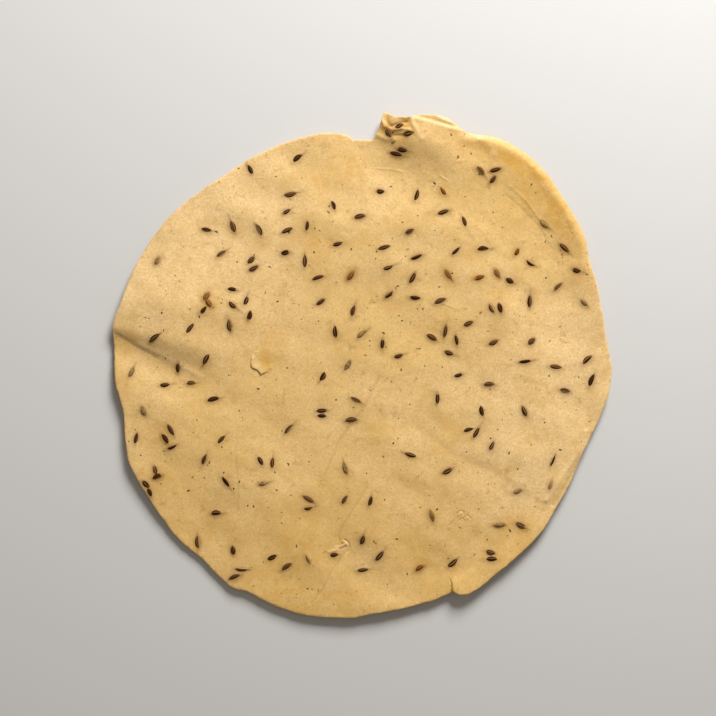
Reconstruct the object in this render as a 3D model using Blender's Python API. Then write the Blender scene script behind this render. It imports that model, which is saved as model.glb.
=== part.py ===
"""A raw cumin papadum: one thin, warped round of dried dough with whole cumin seeds rolled into it.

It lies on Z = 0, with X to the right, Y away and its origin at the bottom centre of its box.
Sizes are in millimetres and degrees, and MM turns the finished meshes into metres.
"""

import math
import random

import bmesh
import bpy
from mathutils import Matrix, Vector
from mathutils.bvhtree import BVHTree
from mathutils.geometry import delaunay_2d_cdt

MM = 0.001
UP = Vector((0, 0, 1))

# The sheet: its thickness and its uneven, hand-rolled rim, as (angle, radius)
THICKNESS = 0.65
SPREAD_RADIUS = 88  # what is spread over the round is spread this far
RIM = (
    (9, 85.8), (24, 87.2), (30, 89.7), (38, 91), (51, 93.4), (60, 92), (65.5, 89.2), (72, 91.2),
    (82.5, 87.6), (85, 88.5), (86, 83), (87.5, 79), (92.2, 79), (93.5, 80.5),  # a chip out of the edge
    (101, 82.5), (125, 82.2), (146, 85.6), (165, 86.9), (171, 88), (176, 86.8), (184, 86.3),
    (191, 84.9), (204, 88.2), (214, 87.8), (224, 88.3), (230, 87.7), (240, 90), (243, 88.8),
    (252, 89.4), (266, 88.5), (275, 86.5), (291, 85.2),
    (292, 84.8), (292.6, 81.2), (293.2, 84.8), (296.5, 87.6),  # a short tear
    (305, 86.3), (317, 85.3), (324, 84), (338, 83), (350, 85.6), (358, 87.1),
)
RIM_STEP = 5.2

# How the sheet stands off the table: flat in the middle, then lifting towards the rim
FLAT_RADIUS = 20
LIFTED_RADIUS = 62
LIFT = 1.5
HILLS_FADE = 18
BAND_START = 74
BAND_END = 89
BAND_LIFT = (
    (0, 1.0), (25, 1.8), (50, 1.7), (68, 0.9), (90, 0.5), (115, 0), (150, -0.4), (166, 0.5),
    (185, 1.0), (215, 0.9), (240, 0.5), (270, 1.1), (300, 1.5), (330, 1.3),
)

# Hills and hollows, as (x, y, height, long spread, wide spread, turn of the long axis)
HILLS = (
    (22, 82, 2.3, 15, 7, -32),  # the mound beside the chip
    (-66, 21, 1.9, 17, 9, -10),  # the lobe that falls into the crease
    (-66, 48, 0.5, 20, 14, 60),
    (-76, -10, 0.5, 12, 7, -25),
    (-58, -58, -0.8, 12, 8, -45),
)

# The crease: a valley from the rim inwards, steep on its north side
CREASE_TIP = Vector((-87.5, 12))
CREASE_END = Vector((-44, -8))
CREASE_DEPTH = 0.9
CREASE_STEEP_WIDTH = 3.0
CREASE_STEEP_SPREAD = 0.25
CREASE_GENTLE_WIDTH = 14
CREASE_FADE_START = 0.6
CREASE_FADE_PAST = 8
CREASE_ROW_STEP = 3.4
CREASE_ROWS = (-1, -0.5, 0, 0.5, 1)  # across the valley, as shares of its width on that side

# Gentle unevenness all over, drawn on a spiral that covers the round evenly
SOFT_DRAW = 11
SOFT_COUNT = 34
SOFT_SHIFT = 6
SOFT_HEIGHT = (0.17, 0.42)
SOFT_SPREAD = (7, 13)
SOFT_STRETCH = (1.2, 2.2)
SOFT_TURN = (-75, -20)
GOLDEN_ANGLE = 137.508

# How finely the sheet is split: coarse, and fine round the crease and the mound as (x, y, reach)
COARSE_STEP = 6.6
FINE_STEP = COARSE_STEP / 2
FINE_ZONES = ((-68, 6, 22), (20, 79, 17))
INSET = 4.6
LEAST_GAP = 0.55  # as a share of the step
ONLY_INSIDE = 1
MERGE_WITHIN = 1e-6

# Cumin seeds
SEED_LENGTH = (3.3, 5.0)
SEED_WIDTH = (1.3, 1.8)
SEED_RISE = 0.45
SEED_SINK = 0.3
SEED_SECTION = ((0.4, SEED_RISE), (-0.4, SEED_RISE), (-1, -0.06), (0, -SEED_SINK), (1, -0.06))
SEED_TIP_HEIGHT = -0.04
SEED_RINGS = ((-0.6, 0.76), (0, 1), (0.62, 0.7))  # (share of the half length, share of the girth)
SEED_DRAW = 7
SEED_COUNT = 150
SEED_GAPS = (7.0, 4.6)  # from seed to seed: first wide, then narrow
SEED_TRIES = 3000  # at each gap
SEED_TURN = (30, 55)  # mean and spread
SEED_FROM_RIM = 3.2
CLEAR_SPOTS = ((-34.8, 0.3, 7), (-7.5, -63.5, 7), (34.6, -53, 5.5))  # as (x, y, reach), without scattered seeds
PROBE_HEIGHT = 50

# Groups of seeds that catch the eye, as (x, y, turn) of each seed
SEED_GROUPS = (
    ((-54.1, 24.1, 55), (-53.4, 21.7, -55), (-55.2, 19.3, 50)),
    ((-66.6, -22.5, -60), (-68.7, -25.7, -58), (-66.3, -28.3, 22)),
    ((-75.3, -41.4, -45), (-74.1, -44.3, -65), (-72.1, -36.5, -75), (-71.2, -38.8, 18)),
    ((-45.1, 26.4, -8), (-45, 21.1, -42), (-40.6, 22.7, 70), (-39.4, 17.4, 75)),
    ((-38.7, 36.9, 45), (-37.9, 34, 28)),
    ((-25, 59.9, 10), (-26.4, 53.7, 30), (-26.1, 47, 25), (-26.7, 39.4, 15)),
    ((13.9, 75.2, -15), (11.8, 73.7, -15), (9.4, 81, -65), (12.9, 83, 30), (16, 80.8, 10)),
    ((41.4, 67.6, -50), (46.4, 68, 15), (45.5, 64.8, 50)),
    ((47.1, 32.2, -60), (51.5, 29.5, -28), (40.8, 30.7, 15), (58.9, 35.8, -32), (53.9, 39.7, 60)),
    ((45.3, 19.9, -60), (48.1, 20, -75)),
    ((29, 12, 80), (32.9, 8.8, -80), (24.4, 9.7, -30), (30.4, 4.4, -20)),
    ((37.2, -22.5, 15), (39.9, -23.4, 60), (45.2, -28, 60)),
    ((-35.5, -33.4, -60), (-31.2, -33.9, 85)),
    ((-14, -15.8, 4), (-14, -17.6, -4)),
    ((-9.7, -66, 3),),
    ((44.8, -65, -15), (45.2, -67.4, 0)),
    ((-18.6, -46.7, -30), (-18.8, -49.7, 10)),
    ((-31.4, -66.9, 25), (-26.2, -70.2, 35), (-42, -71, -5), (-44.4, -73.8, 22)),
)

DOUGH_COLOUR = (0.78, 0.51, 0.21, 1)
DOUGH_ROUGHNESS = 0.55
SEED_COLOUR = (0.07, 0.028, 0.011, 1)
SEED_ROUGHNESS = 0.6
SHARP_ANGLE = 35


def clear_scene():
    for thing in list(bpy.data.objects):
        bpy.data.objects.remove(thing, do_unlink=True)


def plain_material(name, colour, roughness):
    made = bpy.data.materials.new(name)
    made.use_nodes = True
    shader = made.node_tree.nodes["Principled BSDF"]
    shader.inputs["Base Color"].default_value = colour
    shader.inputs["Roughness"].default_value = roughness
    shader.inputs["Metallic"].default_value = 0
    made.diffuse_color = colour
    return made


def smooth_step(low, high, value):
    share = min(max((value - low) / (high - low), 0), 1)
    return share * share * (3 - 2 * share)


def closed_curve(table, angle):
    """The value at this angle of a smooth closed curve through the table's (angle, value) pairs.

    Its slope at each pair is the harmonic mean of the slopes on both sides, or 0 at a peak or a dip,
    so that the curve never swings past the pairs.
    """
    angle %= 360
    count = len(table)

    def pair(index):
        turns, place = divmod(index, count)
        return table[place][0] + 360 * turns, table[place][1]

    def chord(index):
        (start, low), (end, high) = pair(index), pair(index + 1)
        return (high - low) / (end - start)

    def slope(index):
        before, after = chord(index - 1), chord(index)
        return 2 * before * after / (before + after) if before * after > 0 else 0

    index = max(place for place in range(-1, count) if pair(place)[0] <= angle)
    (start, low), (end, high) = pair(index), pair(index + 1)
    width = end - start
    share = (angle - start) / width
    back = 1 - share
    return (
        low * back * back * (1 + 2 * share)
        + high * share * share * (1 + 2 * back)
        + width * share * back * (back * slope(index) - share * slope(index + 1))
    )


def hill(x, y, centre_x, centre_y, height, long_spread, wide_spread, turn):
    across_x, across_y = x - centre_x, y - centre_y
    cosine, sine = math.cos(math.radians(turn)), math.sin(math.radians(turn))
    along = (across_x * cosine + across_y * sine) / long_spread
    aside = (across_y * cosine - across_x * sine) / wide_spread
    return height * math.exp(-(along * along + aside * aside) / 2)


def soft_hills():
    """Low hills and hollows in the form of HILLS, one at each step of a spiral."""
    draw = random.Random(SOFT_DRAW)
    made = []
    for step in range(SOFT_COUNT):
        reach = SPREAD_RADIUS * math.sqrt((step + 0.5) / SOFT_COUNT)
        angle = math.radians(step * GOLDEN_ANGLE)
        x = reach * math.cos(angle) + draw.uniform(-SOFT_SHIFT, SOFT_SHIFT)
        y = reach * math.sin(angle) + draw.uniform(-SOFT_SHIFT, SOFT_SHIFT)
        height = draw.uniform(*SOFT_HEIGHT) * draw.choice((-1, 1))
        wide = draw.uniform(*SOFT_SPREAD)
        made.append((x, y, height, wide * draw.uniform(*SOFT_STRETCH), wide, draw.uniform(*SOFT_TURN)))
    return made


ALL_HILLS = list(HILLS) + soft_hills()


def crease_run():
    """The crease's length and its direction inwards."""
    run = CREASE_END - CREASE_TIP
    return run.length, run.normalized()


def steep_width(along):
    return CREASE_STEEP_WIDTH + CREASE_STEEP_SPREAD * max(along, 0)


def crease(x, y):
    """How far the valley lies below the sheet round it, as a number below 0."""
    length, inwards = crease_run()
    place = Vector((x, y)) - CREASE_TIP
    along = place.dot(inwards)
    north = inwards.cross(place)
    fade = 1 - smooth_step(CREASE_FADE_START * length, length + CREASE_FADE_PAST, along)
    width = steep_width(along) if north > 0 else CREASE_GENTLE_WIDTH
    return -CREASE_DEPTH * fade * (1 - smooth_step(0, width, abs(north)))


def underside(x, y):
    """How high the sheet's underside stands above the table."""
    reach = math.hypot(x, y)
    angle = math.degrees(math.atan2(y, x))
    lift = LIFT * smooth_step(FLAT_RADIUS, LIFTED_RADIUS, reach)
    band = closed_curve(BAND_LIFT, angle) * smooth_step(BAND_START, BAND_END, reach)
    uneven = crease(x, y) + sum(hill(x, y, *each) for each in ALL_HILLS)
    away = smooth_step(FLAT_RADIUS, FLAT_RADIUS + HILLS_FADE, reach)
    return max(lift + band + away * uneven, 0)


def polar(angle, radius):
    return Vector((radius * math.cos(math.radians(angle)), radius * math.sin(math.radians(angle))))


def rim_points():
    """The rim's outline: every pair of RIM, and points no more than RIM_STEP apart between them."""
    points = []
    for index, (start, radius) in enumerate(RIM):
        end = RIM[(index + 1) % len(RIM)][0]
        turn = (end - start) % 360
        pieces = math.ceil(math.radians(turn) * radius / RIM_STEP)
        for piece in range(pieces):
            angle = start + turn * piece / pieces
            points.append(polar(angle, closed_curve(RIM, angle)))
    return points


def inside_by(point, outline):
    """How far a point lies inside the outline, or a number below 0 outside it."""
    nearest = math.inf
    crossings = 0
    for start, end in zip(outline, outline[1:] + outline[:1]):
        edge = end - start
        share = min(max((point - start).dot(edge) / edge.length_squared, 0), 1)
        nearest = min(nearest, (start + share * edge - point).length)
        if (start.y > point.y) != (end.y > point.y):
            crossing = start.x + (point.y - start.y) / edge.y * edge.x
            crossings += crossing > point.x
    return nearest if crossings % 2 else -nearest


def crease_points():
    """Rows of points down the crease's valley and up both of its sides."""
    length, inwards = crease_run()
    northwards = Vector((-inwards.y, inwards.x))
    for step in range(1, int(length / CREASE_ROW_STEP) + 1):
        along = step * CREASE_ROW_STEP
        for row in CREASE_ROWS:
            width = steep_width(along) if row > 0 else CREASE_GENTLE_WIDTH
            yield CREASE_TIP + along * inwards + row * width * northwards


def lattice_points():
    """A triangular lattice over the round, coarse but for the fine zones, with its own spacing."""
    row_step = FINE_STEP * math.sqrt(3) / 2
    rows = math.ceil(max(radius for _, radius in RIM) / row_step)
    for row in range(-rows, rows + 1):
        for column in range(-2 * rows, 2 * rows + 1):
            place = Vector(((column + row / 2) * FINE_STEP, row * row_step))
            if row % 2 == 0 and column % 2 == 0:
                yield place, COARSE_STEP
            elif any((place - Vector(zone[:2])).length < zone[2] for zone in FINE_ZONES):
                yield place, FINE_STEP


def plan_points():
    """The outline, then the points inside it, none of them crowded."""
    outline = rim_points()
    inner = [point for point in crease_points() if inside_by(point, outline) > LEAST_GAP * FINE_STEP]
    ring = [point * (1 - INSET / point.length) for point in outline]
    candidates = [(point, FINE_STEP) for point in ring] + list(lattice_points())
    for point, spacing in candidates:
        gap = LEAST_GAP * spacing
        if inside_by(point, outline) > gap and all((point - other).length > gap for other in inner):
            inner.append(point)
    return outline, inner


def sheet_mesh():
    """Two faces with the same triangles, one THICKNESS above the other, and the rim between them."""
    outline, inner = plan_points()
    ring = [(index, (index + 1) % len(outline)) for index in range(len(outline))]
    plan, _, triangles, *_ = delaunay_2d_cdt(outline + inner, ring, [], ONLY_INSIDE, MERGE_WITHIN)
    bottoms = [Vector((place.x, place.y, underside(place.x, place.y))) for place in plan]
    tops = [bottom + THICKNESS * UP for bottom in bottoms]
    above = len(bottoms)
    faces = [tuple(above + corner for corner in triangle) for triangle in triangles]
    faces += [tuple(reversed(triangle)) for triangle in triangles]
    for start, end in ring:
        faces.append((start, end, above + end))
        faces.append((start, above + end, above + start))
    mesh = bpy.data.meshes.new("papadum")
    mesh.from_pydata(bottoms + tops, [], faces)
    return mesh


def seed_mesh(length, width):
    """A spindle along X, widest at the sheet's surface, with its crown above and its keel below."""
    work = bmesh.new()
    rings = [
        [
            work.verts.new((along * length / 2, side * girth * width / 2, height * girth))
            for side, height in SEED_SECTION
        ]
        for along, girth in SEED_RINGS
    ]
    sides = len(SEED_SECTION)
    for ring, next_ring in zip(rings, rings[1:]):
        for side in range(sides):
            after = (side + 1) % sides
            work.faces.new((ring[side], next_ring[side], next_ring[after], ring[after]))
    for ring, tip_x in ((rings[0], -length / 2), (rings[-1], length / 2)):
        tip = work.verts.new((tip_x, 0, SEED_TIP_HEIGHT))
        for side in range(sides):
            work.faces.new((ring[side], ring[(side + 1) % sides], tip))
    bmesh.ops.triangulate(work, faces=work.faces)
    bmesh.ops.recalc_face_normals(work, faces=work.faces)
    mesh = bpy.data.meshes.new("seed")
    work.to_mesh(mesh)
    work.free()
    return mesh


def seed_places():
    """(x, y, turn) of every seed: the groups, then an even scatter that keeps clear of them and the spots."""
    draw = random.Random(SEED_DRAW)
    places = [place for group in SEED_GROUPS for place in group]
    for gap in SEED_GAPS:
        for _ in range(SEED_TRIES):
            angle = draw.uniform(0, 360)
            reach = SPREAD_RADIUS * math.sqrt(draw.random())
            turn = draw.gauss(*SEED_TURN)
            x, y = polar(angle, reach)
            inside = reach < closed_curve(RIM, angle) - SEED_FROM_RIM
            clear = all(math.hypot(x - other[0], y - other[1]) > gap for other in places)
            clear = clear and all(math.hypot(x - spot[0], y - spot[1]) > spot[2] for spot in CLEAR_SPOTS)
            if inside and clear and len(places) < SEED_COUNT:
                places.append((x, y, turn))
    return places


def seed_matrix(surface, x, y, turn):
    """Lays a seed on the sheet's top at (x, y), along the slope there."""
    place, normal, *_ = surface.ray_cast(Vector((x, y, PROBE_HEIGHT)), -UP)
    tilt = UP.rotation_difference(normal).to_matrix().to_4x4()
    return Matrix.Translation(place) @ tilt @ Matrix.Rotation(math.radians(turn), 4, "Z")


def make_seeds(sheet, material):
    """The seeds, each an object of its own in one collection."""
    surface = BVHTree.FromPolygons(
        [vertex.co for vertex in sheet.data.vertices],
        [tuple(face.vertices) for face in sheet.data.polygons],
    )
    draw = random.Random(SEED_DRAW + 1)
    seeds = bpy.data.collections.new("seeds")
    bpy.context.scene.collection.children.link(seeds)
    for x, y, turn in seed_places():
        mesh = seed_mesh(draw.uniform(*SEED_LENGTH), draw.uniform(*SEED_WIDTH))
        mesh.materials.append(material)
        seed = bpy.data.objects.new("seed", mesh)
        seed.matrix_world = seed_matrix(surface, x, y, turn)
        seeds.objects.link(seed)
    return seeds


def fuse(sheet, seeds):
    """Joins the seeds to the sheet as one solid, and removes the objects that went into it."""
    union = sheet.modifiers.new("seeds", "BOOLEAN")
    union.operation = "UNION"
    union.operand_type = "COLLECTION"
    union.collection = seeds
    union.material_mode = "TRANSFER"
    graph = bpy.context.evaluated_depsgraph_get()
    fused = bpy.data.meshes.new_from_object(sheet.evaluated_get(graph))
    sheet.modifiers.clear()
    sheet.data = fused
    for seed in list(seeds.objects):
        bpy.data.objects.remove(seed, do_unlink=True)
    bpy.data.collections.remove(seeds)


def set_on_origin(thing):
    """Moves the mesh so that the bottom centre of its box is the origin, and turns it into metres."""
    corners = [vertex.co for vertex in thing.data.vertices]
    low = Vector(min(corner[axis] for corner in corners) for axis in range(3))
    high = Vector(max(corner[axis] for corner in corners) for axis in range(3))
    middle = (low + high) / 2
    bottom_centre = Vector((middle.x, middle.y, low.z))
    thing.data.transform(Matrix.Scale(MM, 4) @ Matrix.Translation(-bottom_centre))


def make_papadum():
    papadum = bpy.data.objects.new("papadum", sheet_mesh())
    bpy.context.scene.collection.objects.link(papadum)
    papadum.data.materials.append(plain_material("dough", DOUGH_COLOUR, DOUGH_ROUGHNESS))
    seeds = make_seeds(papadum, plain_material("cumin", SEED_COLOUR, SEED_ROUGHNESS))
    fuse(papadum, seeds)
    set_on_origin(papadum)
    papadum.data.shade_smooth()
    papadum.data.set_sharp_from_angle(angle=math.radians(SHARP_ANGLE))


clear_scene()
make_papadum()
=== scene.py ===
"""The looks of a raw cumin papadum: a fine mesh of the warped sheet, with real seeds and specks in it.

Sizes are in millimetres and degrees, in the sheet's own frame. MM turns finished meshes into metres.
"""

import math
import random

import bpy
import numpy as np
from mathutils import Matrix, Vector
from mathutils.geometry import delaunay_2d_cdt
from mathutils.kdtree import KDTree


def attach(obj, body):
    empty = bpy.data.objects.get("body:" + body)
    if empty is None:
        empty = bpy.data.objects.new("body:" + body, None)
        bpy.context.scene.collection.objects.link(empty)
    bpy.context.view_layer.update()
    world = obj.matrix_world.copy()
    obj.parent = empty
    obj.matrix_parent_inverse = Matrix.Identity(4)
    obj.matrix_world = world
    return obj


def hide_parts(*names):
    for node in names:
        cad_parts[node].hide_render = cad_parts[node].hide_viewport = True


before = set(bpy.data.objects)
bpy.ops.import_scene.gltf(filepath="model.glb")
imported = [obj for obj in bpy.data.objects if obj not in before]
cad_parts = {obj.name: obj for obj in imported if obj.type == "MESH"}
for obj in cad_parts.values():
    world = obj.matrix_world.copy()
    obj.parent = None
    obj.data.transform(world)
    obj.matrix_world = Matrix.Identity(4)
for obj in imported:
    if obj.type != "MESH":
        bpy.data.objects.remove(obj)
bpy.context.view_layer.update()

MM = 0.001
QUARTER_TURN = 90
HALF_TURN = 180
FULL_TURN = 360
TINY = 1e-6  # keeps a division off 0

# The sheet's main form, its solid's but for the tear: thickness and rim, as (angle, radius)
THICKNESS = 0.65
SPREAD_RADIUS = 88
RIM = (
    (9, 85.8), (24, 87.2), (30, 89.7), (38, 91), (51, 93.4), (60, 92), (65.5, 89.2), (72, 91.2),
    (82.5, 87.6), (85, 88.5), (86, 83), (87.5, 79), (92.2, 79), (93.5, 80.5),  # a chip out of the edge
    (101, 82.5), (125, 82.2), (146, 85.6), (165, 86.9), (171, 88), (176, 86.8), (184, 86.3),
    (191, 84.9), (204, 88.2), (214, 87.8), (224, 88.3), (230, 87.7), (240, 90), (243, 88.8),
    (252, 89.4), (266, 88.5), (275, 86.5), (291, 85.2), (293.1, 84.6),  # up to the tear
    (293.35, 84.8), (294.3, 86.3), (296.5, 87.6),
    (305, 86.3), (317, 85.3), (324, 84), (338, 83), (350, 85.6), (358, 87.1),
)

# How the sheet stands off the table: flat in the middle, then lifting towards the rim
FLAT_RADIUS = 20
LIFTED_RADIUS = 62
LIFT = 1.5
HILLS_FADE = 18
BAND_START = 74
BAND_END = 89
BAND_LIFT = (
    (0, 1.0), (25, 1.8), (50, 1.7), (68, 0.9), (90, 0.5), (115, 0), (150, -0.4), (166, 0.5),
    (185, 1.0), (215, 0.9), (240, 0.5), (270, 1.1), (300, 1.5), (330, 1.3),
)

# Hills and hollows, as (x, y, height, long spread, wide spread, turn of the long axis)
HILLS = (
    (22, 82, 2.3, 15, 7, -32),  # the mound beside the chip
    (-66, 21, 1.9, 17, 9, -10),  # the lobe that falls into the crease
    (-66, 48, 0.5, 20, 14, 60),
    (-76, -10, 0.5, 12, 7, -25),
    (-58, -58, -0.8, 12, 8, -45),
)

# The crease: a valley from the rim inwards, steep on its north side, 3 mm south of the solid's
CREASE_TIP = (-87.5, 9)
CREASE_END = (-44, -11)
CREASE_DEPTH = 0.9
CREASE_STEEP_WIDTH = 5  # gentler than the solid's, whose triangles need a sharper form
CREASE_STEEP_SPREAD = 0.25
CREASE_GENTLE_WIDTH = 14
CREASE_FADE_START = 0.6
CREASE_FADE_PAST = 8

# Low forms that only the fine sheet shows, in the same form as HILLS
FINE_HILLS = (
    (11, 63, -1.0, 13, 6, -24),  # at the foot of the mound
    (20, 77, 0.45, 8, 3.5, -20),
    (-71, 8.5, 0.9, 13, 4.5, -22),  # on the lobe, close to the crease
    (13, 84.5, -0.4, 6, 4, 0),  # the crumpled top of the mound
    (39, 77, -0.45, 7, 5, -48),  # between the mound and the lip
    (-52, -52, -0.3, 9, 5, -50),
    (-3, 45, 0.25, 14, 6, -20),
    (33, 2, -0.25, 12, 7, -60),
    (60, 42, -0.25, 8, 5, -50),
    (-12, -78, 0.3, 12, 5, -15),
)

# Gentle unevenness all over, drawn on a spiral that covers the round evenly
SOFT_DRAW = 11
SOFT_COUNT = 34
SOFT_SHIFT = 6
SOFT_HEIGHT = (0.17, 0.42)
SOFT_SPREAD = (7, 13)
SOFT_STRETCH = (1.2, 2.2)
SOFT_TURN = (-75, -20)
GOLDEN_ANGLE = 137.508

# Cumin seeds, placed as they are on the solid
SEED_LENGTH = (3.3, 5.0)
SEED_WIDTH = (1.3, 1.8)
SEED_RISE = 0.45
SEED_SINK = 0.3
SEED_DRAW = 7
SEED_COUNT = 150
SEED_GAPS = (7.0, 4.6)
SEED_TRIES = 3000
SEED_TURN = (30, 55)
SEED_FROM_RIM = 3.2
SEED_GROUPS = (
    ((-54.1, 24.1, 55), (-53.4, 21.7, -55), (-55.2, 19.3, 50)),
    ((-66.6, -22.5, -60), (-68.7, -25.7, -58), (-66.3, -28.3, 22)),
    ((-75.3, -41.4, -45), (-74.1, -44.3, -65), (-72.1, -36.5, -75), (-71.2, -38.8, 18)),
    ((-45.1, 26.4, -8), (-45, 21.1, -42), (-40.6, 22.7, 70), (-39.4, 17.4, 75)),
    ((-38.7, 36.9, 45), (-37.9, 34, 28)),
    ((-25, 59.9, 10), (-26.4, 53.7, 30), (-26.1, 47, 25), (-26.7, 39.4, 15)),
    ((13.9, 75.2, -15), (11.8, 73.7, -15), (9.4, 81, -65), (12.9, 83, 30), (16, 80.8, 10)),
    ((41.4, 67.6, -50), (46.4, 68, 15), (45.5, 64.8, 50)),
    ((47.1, 32.2, -60), (51.5, 29.5, -28), (40.8, 30.7, 15), (58.9, 35.8, -32), (53.9, 39.7, 60)),
    ((45.3, 19.9, -60), (48.1, 20, -75)),
    ((29, 12, 80), (32.9, 8.8, -80), (24.4, 9.7, -30), (30.4, 4.4, -20)),
    ((37.2, -22.5, 15), (39.9, -23.4, 60), (45.2, -28, 60)),
    ((-35.5, -33.4, -60), (-31.2, -33.9, 85)),
    ((-14, -15.8, 4), (-14, -17.6, -4)),
    ((-9.7, -66, 3),),
    ((44.8, -65, -15), (45.2, -67.4, 0)),
    ((-18.6, -46.7, -30), (-18.8, -49.7, 10)),
    ((-31.4, -66.9, 25), (-26.2, -70.2, 35), (-42, -71, -5), (-44.4, -73.8, 22)),
)

# Where no seed is scattered, as (x, y, reach): round the flake, the hook and the swirl
CLEAR_SPOTS = ((-34.8, 0.3, 7), (-7.5, -63.5, 7), (34.6, -53, 5.5))

# The seeds' kinds: most are dark, some are rusty, and a few lie under a film of dough
RUSTY_SEEDS = ((-54.1, 24.1), (-53.4, 21.7), (47.1, 32.2), (40.8, 30.7), (53.9, 39.7))
SAME_SEED = 0.5
RUSTY_SHARE = 0.05
VEILED_SHARE = 0.12

# What each seed draws of its own: from and to, or one of these
LOOKS_DRAW = 21
HALO_AND_SHADE_STRENGTH = (0.45, 1.0)
SEED_BEND = (-0.2, 0.2)
SEED_ROLL = (-22, 22)
SEED_TAILS = (0, 0, 0.5, 0.9)
RIDGE_STRENGTH = (0.15, 1.0)
END_FILM_FROM = (0.35, 1.5)
SIDE_FILM_FROM = (0.1, 1.6)
EITHER_WAY = (-1, 1)

# A seed's own form: how blunt its ends are, how full and how tapered, and where a tail starts
SEED_RINGS = 20
SEED_SIDES = 26
SEED_BLUNT = 2.1
SEED_FULL = 0.8
SEED_TAPER = 0.12
TAIL_START = 0.9

# Its ridges, as degrees round it from its top, in one of two patterns, and which of them are pale
SEED_RIDGES = {1: (0, 52, -52), -1: (27, -27, 78, -78)}
PALE_RIDGES = {1: (0,), -1: (27, -27)}
RIDGE_HALF_WIDTH = 12
RIDGE_RISE = 0.16
RIDGE_LEVEL = 0.4
SIDE_RIDGES_SHOWN = 0.06

# How far the film of dough over a seed takes to thicken at its foot, from an end and from a side
FOOT_FILM = 0.38
END_FILM = 0.35
SIDE_FILM = 0.5
VEILED_FILM = 0.6

# Fine unevenness, as rows of waves: (how many, (shortest, longest), height, (direction, spread))
WAVE_DRAW = 5
WAVE_ROWS = (
    (16, (12, 27), 0.1, (48, 28)),
    (22, (6, 11), 0.02, (45, 35)),
    (26, (2.2, 4.5), 0.008, (30, 60)),
)
WAVES_LIFT = 0.12  # so that most of the waves' hollows stay above the table

# The top keeps below this height, and is pressed together over this much below it
HIGHEST = 5.04
PRESSED_OVER = 0.4

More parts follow.
